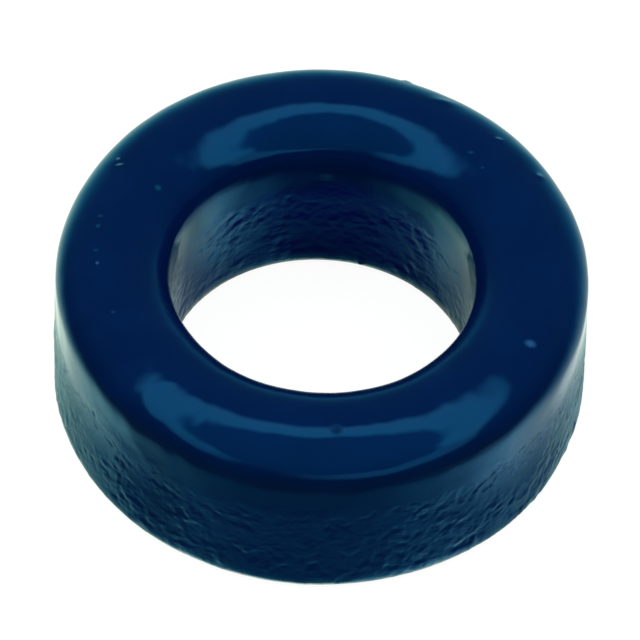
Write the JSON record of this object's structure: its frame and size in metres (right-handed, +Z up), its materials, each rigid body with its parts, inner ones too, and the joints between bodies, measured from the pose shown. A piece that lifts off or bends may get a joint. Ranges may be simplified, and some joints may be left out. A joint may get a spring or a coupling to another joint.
{
  "type": "ferrite toroid core",
  "caption": "Round ferrite ring core with a domed glossy top, straight walls, a wide plain bore and a flat foot, coated all over in dark blue epoxy.",
  "frame": {"origin": "centre of the ring on its flat foot, which is the lowest plane of the part", "axes": "+Z up along the ring's own axis, out of the domed top; +X and +Y across the ring, which is the same all the way round"},
  "size_m": [0.0228, 0.0228, 0.0087],
  "materials": {
    "blue_epoxy_coat": "gloss"
  },
  "bodies": {
    "root": {"toroid_core": "blue_epoxy_coat"}
  },
  "joints": []
}
